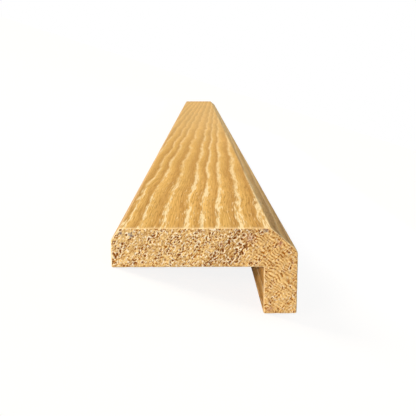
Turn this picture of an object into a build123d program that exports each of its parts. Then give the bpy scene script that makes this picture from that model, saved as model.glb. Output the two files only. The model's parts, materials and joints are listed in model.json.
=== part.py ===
from build123d import *
from math import atan2, cos, degrees, radians, sin
import os

# A cap moulding: one length of hardwood with an L-shaped section, planed on its long faces and
# sawn at its ends. A wide flat cap covers the top edge of a panel, and a leg below the cap's outer
# edge hangs down the panel's face. The cap's outer corner has a broad chamfer, and the lip along
# its other edge a small steep one.
#
# Set down by itself, the moulding leans: the lip's lower arris and the inner arris of the leg's
# foot touch the ground. It is drawn as it lies then, in millimetres, with its length along Y, the
# leg towards +X, and the origin on the ground below the middle of its bounding box.

# The length that the moulding is cut to
length = 900

# The section, measured with the cap level
cap_width = 44
cap_thickness = 9.5
leg_thickness = 8
leg_drop = 11.5

# The broad chamfer on the cap's outer corner and the small one on its lip
outer_chamfer_across = 6.5
outer_chamfer_down = 5.5
lip_chamfer_across = 2.1
lip_chamfer_down = 2.9

# The sanded rounding of the long arrises, and the fuller one below the broad chamfer
arris_radius = 0.4
outer_arris_radius = 2.5

# The rebate that the cap and the leg leave for the panel
rebate_width = cap_width - leg_thickness
rebate_corner = (rebate_width, 0)

# The corner where the broad chamfer runs out on the moulding's outer face
outer_corner = (cap_width, cap_thickness - outer_chamfer_down)

# The two arrises on the ground lie on this slope across the section, so the section leans by it
lean = degrees(atan2(leg_drop, rebate_width))


def leaning_plane(x=0, z=0):
    """A plane across the length, with the lip's lower corner at x, z and the cap rising towards +X."""
    across = (cos(radians(lean)), 0, sin(radians(lean)))
    return Plane(origin=(x, 0, z), x_dir=across, z_dir=(0, -1, 0))


# The section, drawn from the lip's lower corner along the underside, round the leg and back over the top
with BuildSketch(leaning_plane()) as section:
    with BuildLine():
        Polyline(
            (0, 0),
            rebate_corner,
            (rebate_width, -leg_drop),
            (cap_width, -leg_drop),
            outer_corner,
            (cap_width - outer_chamfer_across, cap_thickness),
            (lip_chamfer_across, cap_thickness),
            (0, cap_thickness - lip_chamfer_down),
            close=True,
        )
    make_face()
    # Every corner but the rebate's is an arris, and the outer one has its own rounding
    arrises = section.vertices().sort_by_distance(rebate_corner)[1:]
    fillet(arrises.sort_by_distance(outer_corner)[1:], radius=arris_radius)
    fillet(section.vertices().sort_by_distance(outer_corner)[0], radius=outer_arris_radius)

# The section's lowest point lies on the ground, and its reach to each side centres it
reach = section.sketch.bounding_box()

with BuildPart() as cap_moulding:
    with BuildSketch(leaning_plane(x=-reach.center().X, z=-reach.min.Z)):
        add(section.sketch_local)
    extrude(amount=length / 2, both=True)

cap_moulding.part.label = "cap_moulding"

os.makedirs("parts", exist_ok=True)
export_step(cap_moulding.part, "parts/cap_moulding.step")
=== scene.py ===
import json
import math

import bpy
import numpy as np
from mathutils import Matrix, Vector
from mathutils.geometry import delaunay_2d_cdt


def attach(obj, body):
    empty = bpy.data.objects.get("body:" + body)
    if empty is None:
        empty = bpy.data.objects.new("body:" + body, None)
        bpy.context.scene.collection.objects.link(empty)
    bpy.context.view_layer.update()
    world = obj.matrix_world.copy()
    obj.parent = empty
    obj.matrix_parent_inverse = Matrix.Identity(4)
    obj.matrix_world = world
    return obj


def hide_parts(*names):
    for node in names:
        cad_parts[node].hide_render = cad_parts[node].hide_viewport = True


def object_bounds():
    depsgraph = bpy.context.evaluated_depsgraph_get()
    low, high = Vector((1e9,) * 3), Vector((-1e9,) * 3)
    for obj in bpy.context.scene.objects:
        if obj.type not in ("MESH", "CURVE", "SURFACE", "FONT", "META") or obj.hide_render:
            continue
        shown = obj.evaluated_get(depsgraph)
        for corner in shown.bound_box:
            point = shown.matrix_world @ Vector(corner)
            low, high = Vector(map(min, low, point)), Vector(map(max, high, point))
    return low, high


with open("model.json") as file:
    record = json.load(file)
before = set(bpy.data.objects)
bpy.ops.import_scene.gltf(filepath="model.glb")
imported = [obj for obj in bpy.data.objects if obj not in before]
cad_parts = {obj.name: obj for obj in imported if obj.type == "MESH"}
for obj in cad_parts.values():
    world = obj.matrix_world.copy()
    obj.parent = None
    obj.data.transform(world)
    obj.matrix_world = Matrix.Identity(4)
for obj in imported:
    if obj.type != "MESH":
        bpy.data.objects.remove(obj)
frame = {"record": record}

# A cap moulding of bare ring-porous hardwood. Lengths are in metres, and lengths within the wood's own
# pattern are in millimetres. The section has its own axes: across from the lip, and up from the cap's
# underside. The moulding lies leaning, so those axes lean with it.

CAD_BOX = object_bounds()
MM = 0.001

# The section, as in the CAD model
CAP_WIDTH = 0.044
CAP_THICKNESS = 0.0095
LEG_THICKNESS = 0.008
LEG_DROP = 0.0115
OUTER_CHAMFER = (0.0065, 0.0055)
LIP_CHAMFER = (0.0021, 0.0029)
ARRIS_RADIUS = 0.0004
OUTER_ARRIS_RADIUS = 0.0025
REBATE_WIDTH = CAP_WIDTH - LEG_THICKNESS

# The mesh: the steps between its points round the section and over the ends, the fewest steps round an
# arris, the stations along the length, and how far they crowd towards the ends
RING_STEP = 0.42 * MM
END_STEP = 0.17 * MM
ARC_STEPS = 3
STATIONS = 130
END_CROWDING = 0.75
# In shares of a step: how far an end's points are shaken and how far they keep from the rim, and how far
# inside the outline a triangle's middle lies at least
END_SHAKE = 0.2
RIM_CLEARANCE = 0.4
LEAST_INSIDE = 0.01
# The distance in millimetres at which two points would count as one
SAME_POINT = 1e-6

# Growth rings. They cross the end as slanted lines, and the slant eases from the lip towards the leg. Their
# places are where their pale early wood comes out on the top at the near end, in millimetres from the lip.
RING_ANGLE = math.radians(50)
LIP_SLANT = math.radians(52)
LEG_SLANT = math.radians(42)
RING_PLACES = (2.9, 6.5, 11.9, 17.7, 21.6, 25.4, 30.7, 36.1, 42.9, 47.4, 52.0)
# How strongly the early wood of each of these rings shows on the long faces
RING_STRENGTHS = (0.8, 0.9, 0.75, 1.1, 1.15, 1.1, 1.1, 1.35, 1.0, 1.0, 1.0)
# One ring has broader early wood: its place, and how far to each side it is drawn out
BROAD_RING = (RING_PLACES[7], 1.3)
# More rings follow on both sides of the named ones
RING_SPACING = 4.8
RINGS_BEYOND = 7
# The grain drifts across the top by this much for each unit of length, in long waves. Each wave has a height,
# a length and a twist, which is how its phase turns for each millimetre across.
GRAIN_SLOPE = 0.025
GRAIN_WAVES = ((0.40, 87.0, 0.11), (0.12, 39.0, 0.23))
# Between these distances from the near end, in millimetres, the grain turns from vivid to calm, and then from
# calm to nearly plain
VIVID_GRAIN = (10.0, 140.0)
FAR_GRAIN = (120.0, 420.0)
# Places through the rings, in millimetres. The inner rings set in between two of them. The coarse rings and
# the dark ones set in between the first two and end between the last two.
INNER_RINGS = (12.0, 30.0)
COARSE_RINGS = (3.0, 9.0, 22.0, 29.0)
DARK_RINGS = (14.5, 18.0, 18.8, 22.0)

# Relief of the long faces: hollows along the early wood, the share of a ring that they take, and the power
# that rounds them
EARLY_WOOD_DEPTH = 0.04 * MM
EARLY_WOOD_SHARE = 0.36
EARLY_WOOD_POWER = 0.7

# Relief of the sawn ends, about a level that is sunk a little behind the ends' planes. The rim is drawn in by
# a varying share of the arris, and a pore's collar stands up by a share of the pore's depth.
END_SINK = 0.14 * MM
END_ARRIS = 0.24 * MM
RIM_BREAK = (0.6, 1.0)
PORE_DEPTH = 0.20 * MM
COLLAR_HEIGHT = 0.3
RAY_DEPTH = 0.05 * MM
SAW_MARK_DEPTH = 0.03 * MM
TORN_DEPTH = 0.06 * MM

# Open pores, in millimetres. Each has a flat middle and a wider collar of torn fibres. Smaller shares of them
# are open in the late wood, among plain rays and down the leg, and the dark rings have more and larger ones.
PORES_PER_SQUARE_MM = 8.0
PORE_RADIUS = (0.12, 0.38)
PORE_FLATNESS = (0.4, 0.9)
PORE_TURN = 0.5
PORE_MIDDLE = 0.15
PORE_COLLAR = 2.0
LATE_PORES = 0.06
RAYED_PORES = 0.4
LEG_PORES = 0.22
DARK_PORES = 0.25
# Where the wood of the cap passes into that of the leg, up the section in millimetres
LEG_WOOD = (-8.0, -2.0)
# Rays: fine stripes across the rings, in millimetres. They grow plain between two places across the section,
# less so down the leg, and are faint elsewhere.
RAY_PITCH = 0.74
RAYS_PLAIN = (30.0, 36.0)
RAYS_FAINT = 0.25
LEG_RAYS = 0.5
# The saw's curved marks, in millimetres: their pitch, their radius and their middle across the section
SAW_MARK_PITCH = 1.7
SAW_RADIUS = 150.0
SAW_MIDDLE = 20.0
# Random surfaces over an end: each one's mean and spread, the range of its waves' lengths in millimetres, and
# their number. Waves seldom crest together, so their sum is full at this many times the root of their number.
PORE_PATCHES = (0.8, 0.4, (4, 12), 6)
RAY_WANDER = (0.0, 0.5, (2, 6), 8)
RAY_PATCHES = (0.55, 0.45, (0.9, 2.5), 8)
TORN_FIBRES = (0.0, 1.0, (0.6, 1.6), 14)
FULL_CREST = 1.2

# Marks on the near end, each with its place across and up the section and its radius, in millimetres: grey
# smudges, reddish stains, a pale chip in the arris, and patches of calmer and paler wood
SMUDGES = ((4.7, 7.9, 1.1), (2.4, 8.3, 0.7), (36.3, 8.8, 0.8))
STAINS = ((32.6, 7.0, 1.7), (39.8, 5.7, 1.0), (26.0, 5.6, 0.9), (37.5, -10.4, 1.2))
CHIPS = ((24.2, 9.1, 0.5),)
CALM_PATCHES = (
    (3.0, 7.4, 3.4),
    (6.2, 2.4, 2.0),
    (11.5, 1.6, 2.2),
    (40.2, -3.0, 5.5),
    (40.2, -8.5, 5.0),
)
# The share of its radius within which a mark is full
MARK_MIDDLE = 0.3

# How far arrises are worn pale: the long ones, out to this many times their radius, the first rings of points
# behind an end, and an end's rim, less so where it faces up by more than this. At the ends this pale is
# partly worn, torn fibres and partly a painted highlight along the arris, kept weaker on the top arris, which
# the lamps already light.
LONG_WEAR = 0.06
WEAR_REACH = 2.5
END_WEAR_AND_HIGHLIGHT = (0.42, 0.13, 0.0)
RIM_WEAR_AND_HIGHLIGHT = 1.0
TOP_RIM_WEAR_AND_HIGHLIGHT = 0.45
TOP_FACING = 0.9

# Colours of the long faces, and tints that multiply them
LATE_WOOD = (0.81, 0.475, 0.130, 1)
LATE_WOOD_OLD = (0.62, 0.33, 0.083, 1)
EARLY_WOOD = (0.98, 0.745, 0.385, 1)
VESSEL_BROWN = (0.36, 0.17, 0.03, 1)
# Painted shade for the lip's chamfer, which faces the key sun more fully than the top
LIP_PAINTED_SHADE = (0.55, 0.355, 0.17, 1)
# The pale of worn arrises, which on the ends' rims is also a painted highlight
WORN_WOOD_AND_HIGHLIGHT = (0.88, 0.68, 0.37, 1)
BRIGHT_TINT = (1.08, 1.07, 1.06, 1)
DULL_TINT = (0.76, 0.70, 0.60, 1)
# Painted shade: the long faces grow darker and a little bluer towards the far end
FAR_PAINTED_SHADE = (0.94, 0.955, 1.02, 1)
# Colours of the sawn ends, and tints that multiply them
END_BROWN = (0.385, 0.130, 0.007, 1)
END_TAN = (0.925, 0.64, 0.25, 1)
END_CREAM = (0.98, 0.84, 0.56, 1)
# The pores' dark brown: partly their own colour and partly painted shade in their pits
PORE_BROWN_AND_SHADE = (0.20, 0.052, 0.003, 1)
STAIN_RED = (0.40, 0.17, 0.10, 1)
SMUDGE_GREY = (0.22, 0.20, 0.185, 1)
SHADE_TINT = (0.82, 0.78, 0.74, 1)
DARK_TINT = (0.80, 0.75, 0.70, 1)
# The tint of the inner rings, on all faces, and the white of the background
INNER_TINT = (0.985, 0.945, 0.90, 1)
WHITE = (1, 1, 1, 1)

# Noises of the wood: the sizes of their grains along a ring, along the fibres and through the rings, in
# millimetres, then their detail and, where it isn't the usual one, its roughness
SWAY_NOISE = ((2.4, 17.0, 2.4), 1.0)
FRAY_NOISE = ((0.9, 6.0, 0.9), 1.0)
FINE_NOISE = ((0.36, 7.5, 0.36), 2.0, 0.6)
THREAD_NOISE = ((0.22, 14.0, 0.22), 1.0)
VESSEL_NOISE = ((0.26, 4.5, 0.26), 0.0)
BEAD_NOISE = ((4.5, 20.0, 4.5), 1.0)
PATCH_NOISE = ((11.0, 110.0, 11.0), 2.0)
SPECK_NOISE = ((0.62, 6.0, 0.33), 1.0)
FLECK_NOISE = ((0.66, 9.0, 0.40), 0.0)
TONE_NOISE = ((1.6, 20.0, 2.6), 2.0)
USUAL_ROUGHNESS = 0.5
# The stretch of a noise's values that a pattern uses, and a wider and a narrower one
NOISE_RANGE = (0.3, 0.7)
WIDE_RANGE = (0.25, 0.75)
NARROW_RANGE = (0.35, 0.65)

# Ramps by the distance from the middle of the early wood, in rings: two distances, and the strengths there
BANDS_BY_RING = (0.0, 0.25, 0.66, 0.0)
VESSELS_BY_RING = (0.10, 0.30, 0.35, 0.60)
SPECKS_BY_RING = (0.08, 0.34, 2.3, 0.8)
LIGHT_BY_RING = (0.16, 0.24, 0.0, 0.08)
# Ramps by a noise, by an end's light, and by its pores, which are below 0 on a collar: two values, and what
# they are taken to, which is 0 and 1 where nothing is given
BEAD_RAMP = (0.36, 0.60, 0.55, 1.0)
THREAD_RAMP = (0.34, 0.58)
VESSEL_RAMP = (0.62, 0.74)
FLECK_RAMP = (0.57, 0.72, 0.0, 0.75)
BLOTCH_RAMP = (0.35, 0.60, 0.75, 0.25)
LIGHT_RAMP = (-0.45, 0.45)
COLLAR_RAMP = (0.0, -0.8)
PORE_RAMP = (0.15, 0.75, 0.0, 0.92)

# The long faces. In rings: how far the rings sway and fray, and when in its year the wood darkens and pales.
RING_SWAY = 0.07
RING_FRAY = 0.06
AGEING = (0.15, 0.80, 0.80, 1.0)
# How far the streaks lighten and darken the bands
STREAKS = 0.48
# In calm grain and in vivid grain: the strength of fraying, streaks and vessels, where a band begins to be
# pale and where it is fully pale, the bands' strength, and how dull the wood is at most and at least
LIVELINESS = (0.4, 1.0)
PALE_BEGINS = (0.02, 0.18)
PALE_IS_FULL = (0.74, 0.56)
PALE_STRENGTH = (0.65, 1.0)
MOST_DULL = (0.7, 1.0)
LEAST_DULL = (0.2, 0.0)
# Before and in the far grain: the least and the most pale, and the strength of the ring's darkening
LEAST_PALE = (0.0, 0.12)
MOST_PALE = (1.0, 0.46)
AGE_STRENGTH = (1.0, 0.7)
# The bands' strength on the broad chamfer, weakened there as painted shade, and the share of a darker colour
# on the lip's chamfer, painted shade that offsets the fuller key light it faces
CHAMFER_SHADE_BANDS = 0.4
LIP_SHADE_SHARE = 0.8
PLANED_ROUGHNESS = (0.70, 0.85)
PLANED_SPECULAR = 0.035
PLANED_BUMP = 0.018 * MM

# The sawn ends: the specks' strength, and how it changes among plain rays, in the coarse rings and in calm
# patches, the light that rays and calm patches add, and the flecks' strength among plain rays
SPECKS = 0.5
RAYED_SPECKS = 0.62
COARSE_SPECKS = 1.35
CALM_SPECKS = 0.65
RAY_LIGHT = 0.46
CALM_LIGHT = 0.05
RAYED_FLECKS = 0.4
SAWN_ROUGHNESS = (0.75, 0.90)
SAWN_SPECULAR = 0.08
SAWN_BUMP = 0.05 * MM

# The bake map, in pixels of a square picture: its margin, the band that the long faces fill, the strip of a
# broken arris at each end of that band, and the pixels for each millimetre of the ends, which lie above it
MAP_SIZE = 1024
MAP_MARGIN = 4
MAP_BAND = 780
MAP_ARRIS = 3
MAP_END_SCALE = 10.0

# The camera, in the section's axes at the near end: across, before the end, and up
CAMERA_ACROSS = 0.020796
CAMERA_BEFORE = 0.159754
CAMERA_UP = 0.0439
CAMERA_YAW = math.radians(0.708)
CAMERA_PITCH = math.radians(-10.514)
CAMERA_LENS = 60.658
CAMERA_SENSOR = 36.0
CAMERA_CLIP = (0.01, 100)

# Two suns: the directions that they shine from, in the section's axes, and their width in degrees
KEY_SUN = dict(source=(-0.70, 0.05, 0.71), strength=0.69, colour=(1.0, 0.945, 0.87), width=35)
FRONT_SUN = dict(source=(-0.45, -0.85, 0.30), strength=0.725, colour=(1.0, 0.945, 0.95), width=16)
# A strip lamp beside the broad chamfer: its distance from the moulding, its middle along the length, its
# height and that of the point that it is turned to, its length and width, and its power in watts
STRIP_BESIDE = 0.09
STRIP_MIDDLE = 0.50
STRIP_HEIGHT = 0.06
STRIP_AIM = 0.015
STRIP_SIZE = (0.86, 0.04)
STRIP_POWER = 0.30
STRIP_COLOUR = (0.84, 1.04, 1.55)
# The floor's half width, the colour that takes its shadow and the glow that whitens it, both as the camera
# sees them, and its colour for all other light
FLOOR_REACH = 12.0
FLOOR_SHADOW = (0.20, 0.178, 0.15, 1)
FLOOR_GLOW = 0.87
FLOOR_PALE = (0.77, 0.80, 0.92, 1)
# The light from all round
SKY_COLOUR = (0.89, 0.985, 1.06, 1)
SKY_STRENGTH = 0.36

random = np.random.default_rng(seed=7)


def mount(name):
    """A mount's place and outward direction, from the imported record."""
    found = next(m for m in frame["record"]["mounts"] if m["name"] == name)
    return Vector(found["pos_m"]), Vector(found["axis"])


# The section's axes and its origin, the lip's lower corner, from the two seats that meet in the rebate
UNDER_PLACE, UNDER_NORMAL = mount("cap_underside")
LEG_PLACE, LEG_NORMAL = mount("leg_inner_face")
ACROSS = -LEG_NORMAL.normalized()
UP = -UNDER_NORMAL.normalized()
LIP_LINE = ACROSS * (LEG_PLACE.dot(ACROSS) - REBATE_WIDTH)
ORIGIN = LIP_LINE + UP * UNDER_PLACE.dot(UP)
NEAR_END, FAR_END = CAD_BOX[0].y, CAD_BOX[1].y
LENGTH = FAR_END - NEAR_END


def towards(across, along, up):
    """A direction of the section's axes, in the row frame."""
    return (ACROSS * across + Vector((0, along, 0)) + UP * up).normalized()


def row_frame(points, y):
    """Points of the section, at one place along the length or each at its own, in the row frame."""
    base = np.array(ORIGIN)
    placed = base + np.outer(points[:, 0], np.array(ACROSS)) + np.outer(points[:, 1], np.array(UP))
    placed[:, 1] = y
    return placed


def eased(value, low, high):
    """0 below the low value, 1 above the high one, with a smooth step between them."""
    share = np.clip((value - low) / (high - low), 0, 1)
    return share * share * (3 - 2 * share)


def lessened(share, least):
    """1 where a share is 0, falling to the least value where the share is 1."""
    return 1 - (1 - least) * share


def section_corners():
    """The section's corners, anticlockwise from the lip's lower corner, each with its rounding."""
    chamfer_across, chamfer_down = OUTER_CHAMFER
    lip_across, lip_down = LIP_CHAMFER
    return [
        ((0, 0), ARRIS_RADIUS),
        ((REBATE_WIDTH, 0), 0),
        ((REBATE_WIDTH, -LEG_DROP), ARRIS_RADIUS),
        ((CAP_WIDTH, -LEG_DROP), ARRIS_RADIUS),
        ((CAP_WIDTH, CAP_THICKNESS - chamfer_down), OUTER_ARRIS_RADIUS),
        ((CAP_WIDTH - chamfer_across, CAP_THICKNESS), ARRIS_RADIUS),
        ((lip_across, CAP_THICKNESS), ARRIS_RADIUS),
        ((0, CAP_THICKNESS - lip_down), ARRIS_RADIUS),
    ]


def rounded_corner(before, corner, after, radius):
    """Points along the arc that rounds one corner, or the corner itself where it is sharp."""
    if radius == 0:
        return [corner]
    back = (before - corner) / np.linalg.norm(before - corner)
    on = (after - corner) / np.linalg.norm(after - corner)
    half = math.acos(float(np.clip(back @ on, -1, 1))) / 2
    middle = (back + on) / np.linalg.norm(back + on)
    centre = corner + middle * radius / math.sin(half)
    start = corner + back * radius / math.tan(half)
    end = corner + on * radius / math.tan(half)
    steps = max(ARC_STEPS, round(radius * (math.pi - 2 * half) / RING_STEP))
    points = []
    for share in np.linspace(0, 1, steps + 1):
        spoke = (1 - share) * (start - centre) + share * (end - centre)
        points.append(centre + spoke * radius / np.linalg.norm(spoke))
    return points


def section_outline():
    """Points round the whole section, close together, with its arrises rounded."""
    corners = section_corners()
    places = [np.array(place, float) for place, radius in corners]
    turns = []
    for i, (place, radius) in enumerate(corners):
        after = places[(i + 1) % len(places)]
        turns.append(rounded_corner(places[i - 1], places[i], after, radius))
    outline = []
    for i, turn in enumerate(turns):
        outline += turn
        start, end = turn[-1], turns[(i + 1) % len(turns)][0]
        steps = max(1, round(np.linalg.norm(end - start) / RING_STEP))
        outline += [start + (end - start) * n / steps for n in range(1, steps)]
    return np.array(outline)


def outline_normals(outline):
    """The outward direction at each point of the outline."""
    along = np.roll(outline, -1, axis=0) - np.roll(outline, 1, axis=0)
    normals = np.stack([along[:, 1], -along[:, 0]], axis=1)
    return normals / np.linalg.norm(normals, axis=1, keepdims=True)


def outline_wear(outline):
    """How far each point of the outline is worn by its closeness to a rounded arris."""
    rounded = [place for place, radius in section_corners() if radius > 0]
    away = np.min([np.linalg.norm(outline - place, axis=1) for place in rounded], axis=0)
    return LONG_WEAR * (1 - eased(away, ARRIS_RADIUS, WEAR_REACH * ARRIS_RADIUS))


def on_lip(outline):
    """1 where a point of the outline lies on the lip's chamfer, and 0 elsewhere."""
    lip_across, lip_down = LIP_CHAMFER
    past = lip_across - outline[:, 0]
    above = outline[:, 1] - (CAP_THICKNESS - lip_down)
    return ((past > 0) & (above > 0)).astype(float)


def on_chamfer(outline):
    """1 where a point of the outline lies on the broad chamfer, and 0 elsewhere."""
    chamfer_across, chamfer_down = OUTER_CHAMFER
    past = outline[:, 0] - (CAP_WIDTH - chamfer_across)
    above = outline[:, 1] - (CAP_THICKNESS - chamfer_down)
    return ((past > 0) & (above > 0)).astype(float)


def grain_wave(back, across):
    """The grain's sideways waves, in millimetres, a distance back from the near end."""
    def waves(distance):
        return sum(
            height * np.sin(2 * math.pi * distance / length + twist * across)
            for height, length, twist in GRAIN_WAVES
        )
    return waves(back) - waves(0 * back)


def ring_edges():
    """Where each ring's early wood meets the top, with more rings beyond the named ones at both sides."""
    before = RING_PLACES[0] - RING_SPACING * np.arange(RINGS_BEYOND, 0, -1)
    after = RING_PLACES[-1] + RING_SPACING * np.arange(1, RINGS_BEYOND + 1)
    return np.concatenate([before, RING_PLACES, after])


def ring_number(across, up, straight):
    """Which ring a point lies in: a number that grows by one from each band of early wood to the next."""
    slant = LIP_SLANT + (LEG_SLANT - LIP_SLANT) * np.clip(across * MM / CAP_WIDTH, 0, 1)
    on_top = straight + (CAP_THICKNESS / MM - up) / np.tan(slant)
    place, breadth = BROAD_RING
    past = on_top - place
    on_top = np.where(np.abs(past) < breadth, place + past * np.abs(past) / breadth, on_top)
    edges = ring_edges()
    return np.interp(on_top, edges, np.arange(len(edges)))


def wood_place(points, y):
    """Where points of the section lie within the wood, in millimetres along a ring, along the fibres and
    through the rings, and the numbers of their rings."""
    across, up = points.T / MM
    back = np.full(len(points), y - NEAR_END) / MM
    straight = across - GRAIN_SLOPE * back - grain_wave(back, across)
    along_ring = straight * math.cos(RING_ANGLE) + up * math.sin(RING_ANGLE)
    through_rings = straight * math.sin(RING_ANGLE) - up * math.cos(RING_ANGLE)
    growth = ring_number(across, up, straight)
    return np.stack([along_ring, back, through_rings], axis=1), growth


def ring_strength(growth):
    """How strongly the early wood nearest to a point shows on the long faces."""
    return np.interp(growth, RINGS_BEYOND + np.arange(len(RING_STRENGTHS)), RING_STRENGTHS)


def early_wood(growth):
    """How far a point lies in the middle of a band of early wood, from 0 to 1."""
    phase = growth % 1.0
    distance = np.minimum(phase, 1 - phase) / (EARLY_WOOD_SHARE / 2)
    return np.clip(1 - distance, 0, 1) ** EARLY_WOOD_POWER


def inside_distance(points, outline):
    """Each point's distance inside the outline, negative outside it."""
    nearest = np.full(len(points), np.inf)
    crossings = np.zeros(len(points), int)
    for start, end in zip(outline, np.roll(outline, -1, axis=0)):
        run = end - start
        share = np.clip(((points - start) @ run) / (run @ run), 0, 1)
        nearest = np.minimum(nearest, np.linalg.norm(points - start - share[:, None] * run, axis=1))
        spans = (start[1] > points[:, 1]) != (end[1] > points[:, 1])
        rise = 1 if run[1] == 0 else run[1]
        crossings += spans & (points[:, 0] < start[0] + run[0] * (points[:, 1] - start[1]) / rise)
    return np.where(crossings % 2 == 1, nearest, -nearest)


def end_points(outline):
    """Points spread over the section's inside, in staggered rows that are shaken a little."""
    low, high = outline.min(0), outline.max(0)
    row_step = END_STEP * math.sqrt(3) / 2
    points = []
    for n, up in enumerate(np.arange(low[1], high[1], row_step)):
        across = np.arange(low[0] + END_STEP / 2 * (n % 2), high[0], END_STEP)
        points.append(np.stack([across, np.full(len(across), up)], axis=1))
    points = np.concatenate(points)
    points += random.uniform(-END_SHAKE, END_SHAKE, points.shape) * END_STEP
    return points[inside_distance(points, outline) > END_ARRIS + RIM_CLEARANCE * END_STEP]


def end_triangles(outline, inner):
    """Triangles over one end, numbered with the outline's points first and then the inner ones."""
    count = len(outline)
    rim = [(n, (n + 1) % count) for n in range(count)]
    points = np.concatenate([outline, inner])
    found = delaunay_2d_cdt([Vector(p / MM) for p in points], rim, [], 0, SAME_POINT, True)
    faces, point_origins = found[2], found[3]
    first = np.array([origins[0] for origins in point_origins])
    triangles = first[np.array(faces)]
    middles = points[triangles].mean(1)
    return triangles[inside_distance(middles, outline) > LEAST_INSIDE * END_STEP]


def ripple(points, mean, spread, lengths, count):
    """A smooth random surface over an end, within a spread of a mean: a sum of waves in random directions."""
    total = np.zeros(len(points))
    for _ in range(count):
        angle = random.uniform(0, math.pi)
        length = random.uniform(*lengths)
        start = random.uniform(0, 2 * math.pi)
        way = np.array([math.cos(angle), math.sin(angle)]) * 2 * math.pi / length
        total += np.sin(points / MM @ way + start)
    return mean + spread * np.clip(total / (FULL_CREST * math.sqrt(count)), -1, 1)


def in_leg(points):
    """How far a point of an end lies down the leg, from 0 at the cap to 1."""
    return 1 - eased(points[:, 1] / MM, *LEG_WOOD)


def plain_rays(points):
    """Where on an end the rays show plainly, from 0 to 1."""
    return eased(points[:, 0] / MM, *RAYS_PLAIN) * lessened(in_leg(points), LEG_RAYS)


def open_share(points, growth, dark):
    """The share of the pores that are open at each point of an end."""
    share = LATE_PORES + (1 - LATE_PORES) * early_wood(growth) ** 2
    share *= lessened(plain_rays(points), RAYED_PORES) * ripple(points, *PORE_PATCHES)
    share *= 1 + DARK_PORES * dark
    return share * lessened(in_leg(points), LEG_PORES)


def pore_shape(offsets, radius, flatness, turn, lean):
    """How far points lie in one pore and on its collar, from 0 to 1, by their offsets from its middle."""
    cos, sin = math.cos(turn), math.sin(turn)
    along, beside = (offsets @ np.array([[cos, -sin], [sin, cos]])).T
    reach = np.hypot(along, beside / flatness) / radius
    pore = np.clip(1 + PORE_MIDDLE - reach ** 2, 0, 1)
    collar_middle = (1 + PORE_COLLAR) / 2
    collar = 1 - np.abs(reach - collar_middle) * 2 / (PORE_COLLAR - 1)
    collar *= 0.5 + 0.5 * np.cos(np.arctan2(beside, along) - lean)
    return pore, np.clip(collar, 0, 1)


def end_pores(points, wood, growth):
    """The open pores at each point of an end: 1 in a pore's middle, and below 0 on its torn collar."""
    at = points / MM
    low, high = at.min(0), at.max(0)
    begin, full, still, gone = DARK_RINGS
    dark = eased(wood[:, 2], begin, full) * (1 - eased(wood[:, 2], still, gone))
    share = open_share(points, growth, dark)
    order = np.argsort(at[:, 0])
    sorted_across = at[order, 0]
    pores, collars = np.zeros(len(points)), np.zeros(len(points))
    count = int(PORES_PER_SQUARE_MM * np.prod(high - low))
    for place in random.uniform(low, high, (count, 2)):
        luck = random.uniform(0, 1)
        radius = PORE_RADIUS[0] + (PORE_RADIUS[1] - PORE_RADIUS[0]) * random.uniform(0, 1) ** 2
        flatness = random.uniform(*PORE_FLATNESS)
        turn = random.normal(RING_ANGLE, PORE_TURN)
        lean = random.uniform(0, 2 * math.pi)
        reach = radius * PORE_COLLAR
        first, last = np.searchsorted(sorted_across, (place[0] - reach, place[0] + reach))
        near = order[first:last]
        near = near[np.abs(at[near, 1] - place[1]) < reach]
        if len(near) == 0 or luck > share[near].mean():
            continue
        radius *= 1 + DARK_PORES * dark[near].mean()
        pore, collar = pore_shape(at[near] - place, radius, flatness, turn, lean)
        pores[near] = np.maximum(pores[near], pore)
        collars[near] = np.maximum(collars[near], collar)
    return np.where(pores > 0, pores, -collars)


def end_rays(points, wood):
    """The rays' stripes at each point of an end, from -1 to 1."""
    stripes = np.sin(2 * math.pi * (wood[:, 0] / RAY_PITCH + ripple(points, *RAY_WANDER)))
    strength = RAYS_FAINT + (1 - RAYS_FAINT) * plain_rays(points)
    return stripes * strength * ripple(points, *RAY_PATCHES)


def end_depth(points, pores, rays):
    """How far each point of a sawn end lies behind its plane: pores, rays, saw marks and torn fibres."""
    sweep = np.hypot(points[:, 0] / MM - SAW_MIDDLE, points[:, 1] / MM + SAW_RADIUS)
    saw = np.sin(2 * math.pi * sweep / SAW_MARK_PITCH)
    torn = ripple(points, *TORN_FIBRES)
    hollow = np.where(pores > 0, pores, COLLAR_HEIGHT * pores)
    depth = PORE_DEPTH * hollow - RAY_DEPTH * rays + SAW_MARK_DEPTH * saw + TORN_DEPTH * torn
    return np.maximum(END_SINK + depth, 0)


def end_marks(points, plane, marks):
    """How far each point of an end lies within some marks, from 0 to 1. Only the near end is marked."""
    share = np.zeros(len(points))
    if plane == NEAR_END:
        for across, up, radius in marks:
            reach = np.linalg.norm(points / MM - (across, up), axis=1) / radius
            share = np.maximum(share, 1 - eased(reach, MARK_MIDDLE, 1.0))
    return share


def station_places():
    """Places along the length, closer together towards both ends."""
    share = np.linspace(0, 1, STATIONS)
    share -= END_CROWDING * np.sin(2 * math.pi * share) / (2 * math.pi)
    first = END_SINK + END_ARRIS
    second = first + END_ARRIS
    places = NEAR_END + second + share * (LENGTH - 2 * second)
    return np.concatenate([[NEAR_END + first], places, [FAR_END - first]])


def planed_points(outline, normals, y, end_wear_and_highlight):
    """One ring of points round the long faces, sunk a little along the early wood, and what they carry."""
    wood, growth = wood_place(outline, y)
    sunk = outline - normals * EARLY_WOOD_DEPTH * early_wood(growth)[:, None]
    carried = dict(
        wood=wood,
        growth=growth,
        early=ring_strength(growth),
        arris=np.maximum(outline_wear(outline), end_wear_and_highlight),
        # The broad chamfer, where the bands are weakened as painted shade
        plain=on_chamfer(outline),
        lip=on_lip(outline),
    )
    return row_frame(sunk, y), carried


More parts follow.
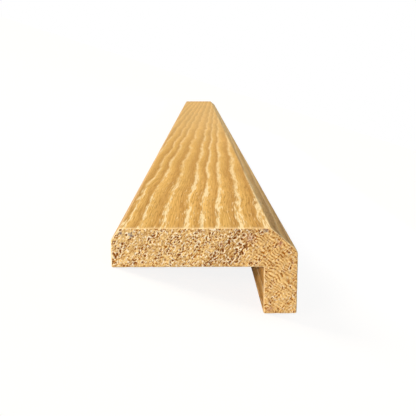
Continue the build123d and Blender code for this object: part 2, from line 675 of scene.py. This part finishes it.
def sawn_points(outline, normals, inner, plane, inward):
    """One end's points, and what they carry. The rim is first, drawn in where the saw broke the arris."""
    around = len(outline)
    rim = outline - normals * END_ARRIS * random.uniform(*RIM_BREAK, around)[:, None]
    section = np.concatenate([rim, inner])
    wood, growth = wood_place(section, plane)
    pore = end_pores(section, wood, growth)
    ray = end_rays(section, wood)
    depth = end_depth(section, pore, ray)
    depth[:around] = END_SINK
    # Pale rims: partly worn fibres and partly a painted highlight, weaker on the top arris, which the lamps
    # already light
    rim_wear_and_highlight = np.where(normals[:, 1] > TOP_FACING, TOP_RIM_WEAR_AND_HIGHLIGHT, RIM_WEAR_AND_HIGHLIGHT)
    carried = dict(
        wood=wood,
        growth=growth,
        early=ring_strength(growth),
        arris=np.concatenate([rim_wear_and_highlight, np.zeros(len(inner))]),
        pore=pore,
        ray=ray,
        rayed=plain_rays(section),
        smudge=end_marks(section, plane, SMUDGES),
        stain=end_marks(section, plane, STAINS),
        chip=end_marks(section, plane, CHIPS),
        calm=end_marks(section, plane, CALM_PATCHES),
    )
    return row_frame(section, plane + inward * depth), carried


def faces_between(rings, around):
    """Four-sided faces from each ring of points to the next, by the numbers of the rings' first points."""
    step = np.arange(around)
    after = np.roll(step, -1)
    faces = []
    for this, other in zip(rings[:-1], rings[1:]):
        faces += np.stack([this + after, this + step, other + step, other + after], axis=1).tolist()
    return faces


def write_attribute(mesh, name, parts):
    """Put what the points carry under one name on the mesh, and 0 where they carry nothing."""
    values = np.concatenate([carried.get(name, np.zeros(len(places))) for places, carried in parts])
    kind, field = ("FLOAT", "value") if values.ndim == 1 else ("FLOAT_VECTOR", "vector")
    made = mesh.attributes.new(name, kind, "POINT")
    made.data.foreach_set(field, values.astype(np.float32).ravel())


def bake_map(mesh, outline, inner, triangles, ring_places):
    """A map for baking: the long faces unrolled in one band, with the two ends side by side above it."""
    run = np.linalg.norm(np.roll(outline, -1, axis=0) - outline, axis=1)
    reach = np.concatenate([[0], np.cumsum(run)]) / run.sum()
    v = MAP_MARGIN + reach * MAP_BAND
    share = (np.array(ring_places) - NEAR_END) / LENGTH
    u = 2 * MAP_MARGIN + share * (MAP_SIZE - 4 * MAP_MARGIN)
    u[0] -= MAP_ARRIS
    u[-1] += MAP_ARRIS
    low, high = v[:-1], v[1:]
    heights = np.stack([high, low, low, high], axis=1)
    bands = []
    for left, right in zip(u[:-1], u[1:]):
        sides = np.broadcast_to((left, left, right, right), heights.shape)
        bands.append(np.stack([sides, heights], axis=2).reshape(-1, 2))
    flat = (np.concatenate([outline, inner]) - outline.min(0)) / MM * MAP_END_SCALE
    corner = np.array([2 * MAP_MARGIN, MAP_BAND + 4 * MAP_MARGIN])
    beside = np.array([flat[:, 0].max() + 4 * MAP_MARGIN, 0])
    near = flat[triangles].reshape(-1, 2) + corner
    far = flat[triangles[:, ::-1]].reshape(-1, 2) + corner + beside
    places = np.concatenate(bands + [near, far]) / MAP_SIZE
    layer = mesh.uv_layers.new(name="OFBake")
    layer.data.foreach_set("uv", places.astype(np.float32).ravel())


def build_moulding():
    """The moulding as one closed mesh, with the wood's own coordinates on its points."""
    outline = section_outline()
    normals = outline_normals(outline)
    around = len(outline)
    inner = end_points(outline)
    triangles = end_triangles(outline, inner)
    stations = station_places()

    # The points, ring by ring along the length, and then those of the two ends
    parts = []
    for n, y in enumerate(stations):
        rings_from_end = min(n, len(stations) - 1 - n)
        # The first rings behind each end carry the rim's pale, partly wear and partly a painted highlight
        end_wear_and_highlight = END_WEAR_AND_HIGHLIGHT[min(rings_from_end, len(END_WEAR_AND_HIGHLIGHT) - 1)]
        parts.append(planed_points(outline, normals, y, end_wear_and_highlight))
    for plane, inward in ((NEAR_END, 1), (FAR_END, -1)):
        parts.append(sawn_points(outline, normals, inner, plane, inward))
    points = np.concatenate([places for places, carried in parts])

    # The faces, along the length from one end's rim to the other's, and then over the two ends
    near_start = around * len(stations)
    far_start = near_start + around + len(inner)
    faces = faces_between([near_start, *range(0, near_start, around), far_start], around)
    long_faces = len(faces)
    faces += (near_start + triangles).tolist()
    faces += (far_start + triangles[:, ::-1]).tolist()

    mesh = bpy.data.meshes.new("moulding_wood")
    mesh.from_pydata(points.tolist(), [], faces)
    for name in dict.fromkeys(name for places, carried in parts for name in carried):
        write_attribute(mesh, name, parts)
    material_of = np.zeros(len(faces), np.int32)
    material_of[long_faces:] = 1
    mesh.polygons.foreach_set("material_index", material_of)
    mesh.polygons.foreach_set("use_smooth", np.ones(len(faces), bool))
    bake_map(mesh, outline, inner, triangles, [NEAR_END, *stations, FAR_END])
    mesh.update()
    piece = bpy.data.objects.new("moulding", mesh)
    bpy.context.scene.collection.objects.link(piece)
    return piece


# The mix node has sockets for numbers, vectors and colours. These are its share and those for colours.
MIX_SHARE = 0
MIX_FIRST = 6
MIX_SECOND = 7
MIX_RESULT = 2


class Nodes:
    """A node tree, with short calls that add a node, set its inputs or link them, and give its output."""

    def __init__(self, owner):
        owner.use_nodes = True
        self.tree = owner.node_tree
        self.tree.nodes.clear()

    def add(self, kind, inputs=(), output=0, **settings):
        """A node of one kind, whose inputs are plain values or other nodes' outputs."""
        node = self.tree.nodes.new(kind)
        for name, value in settings.items():
            setattr(node, name, value)
        for name, value in dict(inputs).items():
            if isinstance(value, bpy.types.NodeSocket):
                self.tree.links.new(value, node.inputs[name])
            else:
                node.inputs[name].default_value = value
        return node.outputs[output]

    def attribute(self, name, output="Fac"):
        """What the mesh's points carry under one name."""
        return self.add("ShaderNodeAttribute", output=output, attribute_name=name)

    def part(self, vector, axis):
        """One part of a vector: X, Y or Z."""
        return self.add("ShaderNodeSeparateXYZ", {0: vector}, output=axis)

    def maths(self, operation, first, second=0.0):
        """One operation on one value or two."""
        return self.add("ShaderNodeMath", {0: first, 1: second}, operation=operation)

    def chain(self, operation, first, *others):
        """Several values taken together by one operation, from first to last."""
        for other in others:
            first = self.maths(operation, first, other)
        return first

    def plus(self, *values):
        """The sum of several values."""
        return self.chain("ADD", *values)

    def times(self, *values):
        """The product of several values."""
        return self.chain("MULTIPLY", *values)

    def ramp(self, value, low, high, to_low=0.0, to_high=1.0, kind="SMOOTHSTEP"):
        """A value taken from one range to another and held there, easing in and out unless it is linear."""
        inputs = {"Value": value, "From Min": low, "From Max": high, "To Min": to_low, "To Max": to_high}
        return self.add("ShaderNodeMapRange", inputs, interpolation_type=kind)

    def between(self, share, at_none, at_full):
        """A value that goes evenly from one number to another as a share goes from 0 to 1."""
        return self.ramp(share, 0.0, 1.0, at_none, at_full, "LINEAR")

    def swing(self, noise, noise_range, reach):
        """A noise taken evenly to between minus and plus a reach."""
        return self.ramp(noise, *noise_range, -reach, reach, "LINEAR")

    def within(self, value, places):
        """1 between the middle two of four places, falling to 0 at the outer two."""
        return self.times(self.ramp(value, *places[:2]), self.ramp(value, *places[2:], 1.0, 0.0))

    def noise(self, place, sizes, detail, roughness=USUAL_ROUGHNESS):
        """A noise whose grains have these sizes along the three axes of the wood."""
        inverse = [1 / size for size in sizes]
        stretched = self.add("ShaderNodeVectorMath", {0: place, 1: inverse}, operation="MULTIPLY")
        inputs = {"Vector": stretched, "Scale": 1.0, "Detail": detail, "Roughness": roughness}
        return self.add("ShaderNodeTexNoise", inputs, output="Fac")

    def mix(self, share, first, second, blend="MIX"):
        """A colour with a share of a second one in it."""
        inputs = {MIX_SHARE: share, MIX_FIRST: first, MIX_SECOND: second}
        return self.add("ShaderNodeMix", inputs, MIX_RESULT, data_type="RGBA", blend_type=blend)

    def tint(self, share, colour, tint):
        """A colour multiplied by a tint, as far as a share says."""
        return self.mix(share, colour, tint, "MULTIPLY")

    def bump(self, height, distance):
        """A surface's direction, turned by a height that stands for a distance."""
        return self.add("ShaderNodeBump", {"Height": height, "Distance": distance}, output="Normal")

    def surface(self, shader, kind="ShaderNodeOutputMaterial"):
        """The end of the tree: what the surface of a material or a world looks like."""
        node = self.tree.nodes.new(kind)
        self.tree.links.new(shader, node.inputs["Surface"])


def from_early_wood(n, growth):
    """How far a point lies from the middle of the nearest early wood, in rings."""
    return n.maths("PINGPONG", growth, 0.5)


def bare_wood(n, wood, colour, roughness, specular, normal):
    """Bare wood, a little redder towards the inner rings."""
    inner = n.ramp(n.part(wood, "Z"), *INNER_RINGS)
    shader = n.add(
        "ShaderNodeBsdfPrincipled",
        {
            "Base Color": n.tint(inner, colour, INNER_TINT),
            "Roughness": roughness,
            "Specular IOR Level": specular,
            "Normal": normal,
        },
    )
    n.surface(shader)


def wandering_rings(n, wood, lively):
    """The rings' numbers, with the rings swaying along the fibres and frayed at their edges."""
    sway = n.swing(n.noise(wood, *SWAY_NOISE), NOISE_RANGE, RING_SWAY)
    fray = n.swing(n.noise(wood, *FRAY_NOISE), NOISE_RANGE, RING_FRAY)
    return n.plus(n.attribute("growth"), sway, n.times(fray, lively))


def pale_bands(n, wood, rings, fine, vivid, lively, far):
    """How pale the wood is with streaky bands of early wood, from 0 to 1."""
    beads = n.ramp(n.noise(wood, *BEAD_NOISE), *BEAD_RAMP)
    band = n.ramp(from_early_wood(n, rings), *BANDS_BY_RING, "LINEAR")
    band = n.times(band, beads, n.attribute("early"))
    streak = n.times(n.swing(fine, WIDE_RANGE, STREAKS), lively)
    begins = n.between(vivid, *PALE_BEGINS)
    is_full = n.between(vivid, *PALE_IS_FULL)
    pale = n.ramp(n.plus(band, streak), begins, is_full)
    # On the broad chamfer the pale bands are weakened: painted shade for the face turned from the key
    pale = n.times(pale, n.between(vivid, *PALE_STRENGTH), n.between(n.attribute("plain"), 1.0, CHAMFER_SHADE_BANDS))
    return n.between(pale, n.between(far, *LEAST_PALE), n.between(far, *MOST_PALE))


def late_wood(n, wood, rings, thread, vivid, far):
    """The late wood's colour, darker towards the end of each year, with bright patches and dull threads."""
    year = n.maths("FRACT", rings)
    age = n.times(n.within(year, AGEING), n.between(far, *AGE_STRENGTH))
    colour = n.mix(age, LATE_WOOD, LATE_WOOD_OLD)
    colour = n.tint(n.ramp(n.noise(wood, *PATCH_NOISE), *NARROW_RANGE), colour, BRIGHT_TINT)
    dull = n.ramp(thread, *THREAD_RAMP, n.between(vivid, *MOST_DULL), n.between(vivid, *LEAST_DULL))
    return n.tint(dull, colour, DULL_TINT)


def planed_face():
    """The long faces: golden late wood with pale, streaky bands of early wood and dark vessel lines."""
    material = bpy.data.materials.new("planed_face")
    n = Nodes(material)
    wood = n.attribute("wood", "Vector")
    along = n.part(wood, "Y")
    vivid = n.ramp(along, *VIVID_GRAIN, 1.0, 0.0)
    lively = n.between(vivid, *LIVELINESS)
    far = n.ramp(along, *FAR_GRAIN)
    fine = n.noise(wood, *FINE_NOISE)
    thread = n.noise(wood, *THREAD_NOISE)
    rings = wandering_rings(n, wood, lively)
    pale = pale_bands(n, wood, rings, fine, vivid, lively, far)
    by_ring = n.ramp(from_early_wood(n, rings), *VESSELS_BY_RING)
    vessel = n.times(n.ramp(n.noise(wood, *VESSEL_NOISE), *VESSEL_RAMP), by_ring, lively)
    colour = n.mix(pale, late_wood(n, wood, rings, thread, vivid, far), EARLY_WOOD)
    colour = n.mix(vessel, colour, VESSEL_BROWN)
    # Painted shade: the lip's chamfer darkened against the key light that it faces
    colour = n.mix(n.between(n.attribute("lip"), 0.0, LIP_SHADE_SHARE), colour, LIP_PAINTED_SHADE)
    # Painted shade: darker and a little bluer towards the far end
    colour = n.tint(far, colour, FAR_PAINTED_SHADE)
    # Worn arrises made pale, and at the ends' rims a painted highlight as well
    colour = n.mix(n.attribute("arris"), colour, WORN_WOOD_AND_HIGHLIGHT)
    roughness = n.ramp(fine, *NOISE_RANGE, *PLANED_ROUGHNESS)
    height = n.maths("SUBTRACT", thread, n.maths("MAXIMUM", pale, vessel))
    bare_wood(n, wood, colour, roughness, PLANED_SPECULAR, n.bump(height, PLANED_BUMP))
    return material


def end_light(n, wood, speck):
    """How light the wood of an end is, by its rays and specks."""
    rayed = n.attribute("rayed")
    calm = n.attribute("calm")
    phase = from_early_wood(n, n.attribute("growth"))
    grain = n.times(
        n.swing(speck, WIDE_RANGE, SPECKS),
        n.ramp(phase, *SPECKS_BY_RING),
        n.between(rayed, 1.0, RAYED_SPECKS),
        n.between(n.within(n.part(wood, "Z"), COARSE_RINGS), 1.0, COARSE_SPECKS),
        n.between(calm, 1.0, CALM_SPECKS),
    )
    return n.plus(
        n.times(n.attribute("ray"), RAY_LIGHT),
        grain,
        n.between(calm, 0.0, CALM_LIGHT),
        n.ramp(phase, *LIGHT_BY_RING),
    )


def sawn_end():
    """The ends: pores and rays cut across by the saw, rough and speckled, with the near end's marks."""
    material = bpy.data.materials.new("sawn_end")
    n = Nodes(material)
    wood = n.attribute("wood", "Vector")
    pore = n.attribute("pore")
    speck = n.noise(wood, *SPECK_NOISE)
    light = end_light(n, wood, speck)
    colour = n.mix(n.ramp(light, *LIGHT_RAMP), END_BROWN, END_TAN)
    colour = n.tint(n.ramp(n.noise(wood, *TONE_NOISE), *NARROW_RANGE, 1.0, 0.0), colour, SHADE_TINT)
    colour = n.tint(n.within(n.part(wood, "Z"), DARK_RINGS), colour, DARK_TINT)
    fleck = n.ramp(n.noise(wood, *FLECK_NOISE), *FLECK_RAMP)
    fleck = n.times(fleck, n.between(n.attribute("rayed"), 1.0, RAYED_FLECKS))
    colour = n.mix(fleck, colour, END_CREAM)
    colour = n.mix(n.ramp(pore, *COLLAR_RAMP), colour, END_CREAM)
    # Pores darkened: partly their own colour and partly painted shade in the pits
    colour = n.mix(n.ramp(pore, *PORE_RAMP), colour, PORE_BROWN_AND_SHADE)
    blotches = n.ramp(speck, *BLOTCH_RAMP)
    for name, mark_colour in (("stain", STAIN_RED), ("smudge", SMUDGE_GREY)):
        colour = n.mix(n.times(n.attribute(name), blotches), colour, mark_colour)
    colour = n.mix(n.attribute("chip"), colour, END_CREAM)
    roughness = n.ramp(speck, *NOISE_RANGE, *SAWN_ROUGHNESS)
    bare_wood(n, wood, colour, roughness, SAWN_SPECULAR, n.bump(light, SAWN_BUMP))
    return material


def seen_directly(n):
    """1 for what the camera sees, itself or through a gloss or a glass, and 0 for other light."""
    kinds = ("Is Camera Ray", "Is Glossy Ray", "Is Transmission Ray")
    return n.chain("MAXIMUM", *[n.add("ShaderNodeLightPath", output=kind) for kind in kinds])


def floor_white():
    """The floor: white with a light shadow where the camera sees it, and plainly pale for other light."""
    material = bpy.data.materials.new("floor_white")
    n = Nodes(material)
    shadow = n.add("ShaderNodeBsdfDiffuse", {"Color": FLOOR_SHADOW})
    glow = n.add("ShaderNodeEmission", {"Color": WHITE, "Strength": FLOOR_GLOW})
    seen = n.add("ShaderNodeAddShader", {0: shadow, 1: glow})
    pale = n.add("ShaderNodeBsdfDiffuse", {"Color": FLOOR_PALE})
    n.surface(n.add("ShaderNodeMixShader", {0: seen_directly(n), 1: pale, 2: seen}))
    return material


def add_floor():
    """A wide pale floor under the moulding."""
    mesh = bpy.data.meshes.new("floor")
    reach = FLOOR_REACH
    corners = [(-reach, -reach, 0), (reach, -reach, 0), (reach, reach, 0), (-reach, reach, 0)]
    mesh.from_pydata(corners, [], [(0, 1, 2, 3)])
    mesh.materials.append(floor_white())
    floor = bpy.data.objects.new("floor", mesh)
    bpy.context.scene.collection.objects.link(floor)


def add_world():
    """A soft, slightly cool light from all round, and white where the camera sees past the floor."""
    world = bpy.data.worlds.new("studio")
    n = Nodes(world)
    light = n.add("ShaderNodeBackground", {"Color": SKY_COLOUR, "Strength": SKY_STRENGTH})
    white = n.add("ShaderNodeBackground", {"Color": WHITE, "Strength": 1.0})
    shader = n.add("ShaderNodeMixShader", {0: seen_directly(n), 1: light, 2: white})
    n.surface(shader, "ShaderNodeOutputWorld")
    bpy.context.scene.world = world


def add_camera():
    """The camera, before the near end and above the cap, rolled with the section so the cap looks level."""
    data = bpy.data.cameras.new("camera")
    data.lens = CAMERA_LENS
    data.sensor_width = CAMERA_SENSOR
    data.clip_start, data.clip_end = CAMERA_CLIP
    camera = bpy.data.objects.new("camera", data)
    place = ORIGIN + ACROSS * CAMERA_ACROSS + UP * CAMERA_UP
    place.y = NEAR_END - CAMERA_BEFORE
    level = math.cos(CAMERA_PITCH)
    forward = towards(math.sin(CAMERA_YAW) * level, math.cos(CAMERA_YAW) * level, math.sin(CAMERA_PITCH))
    right = forward.cross(UP).normalized()
    over = right.cross(forward)
    turn = Matrix((right, over, -forward)).transposed()
    camera.matrix_world = Matrix.Translation(place) @ turn.to_4x4()
    bpy.context.scene.collection.objects.link(camera)
    bpy.context.scene.camera = camera


def add_sun(name, source, strength, colour, width):
    """A broad, soft sun. At a strength of 1 it would show a white surface that faces it as white."""
    data = bpy.data.lights.new(name, "SUN")
    data.energy = strength * math.pi
    data.color = colour
    data.angle = math.radians(width)
    lamp = bpy.data.objects.new(name, data)
    lamp.rotation_mode = "QUATERNION"
    lamp.rotation_quaternion = towards(*source).to_track_quat("Z", "Y")
    bpy.context.scene.collection.objects.link(lamp)


def add_strip(name):
    """A long lamp that lies along the moulding, beside it, and shines on its outer side."""
    data = bpy.data.lights.new(name, "AREA")
    data.shape = "RECTANGLE"
    data.size, data.size_y = STRIP_SIZE
    data.energy = STRIP_POWER
    data.color = STRIP_COLOUR
    lamp = bpy.data.objects.new(name, data)
    outer_side = CAD_BOX[1].x
    place = Vector((outer_side + STRIP_BESIDE, NEAR_END + STRIP_MIDDLE, STRIP_HEIGHT))
    aim = Vector((outer_side, NEAR_END + STRIP_MIDDLE, STRIP_AIM))
    back = (place - aim).normalized()
    along = Vector((0, 1, 0))
    turn = Matrix((along, back.cross(along), back)).transposed()
    lamp.matrix_world = Matrix.Translation(place) @ turn.to_4x4()
    lamp.visible_camera = False
    bpy.context.scene.collection.objects.link(lamp)


moulding = build_moulding()
moulding.data.materials.append(planed_face())
moulding.data.materials.append(sawn_end())
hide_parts("cap_moulding")
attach(moulding, "root")

add_camera()
add_sun("key", **KEY_SUN)
add_sun("front", **FRONT_SUN)
add_strip("side")
add_floor()
add_world()
bpy.context.scene.view_settings.view_transform = "Standard"
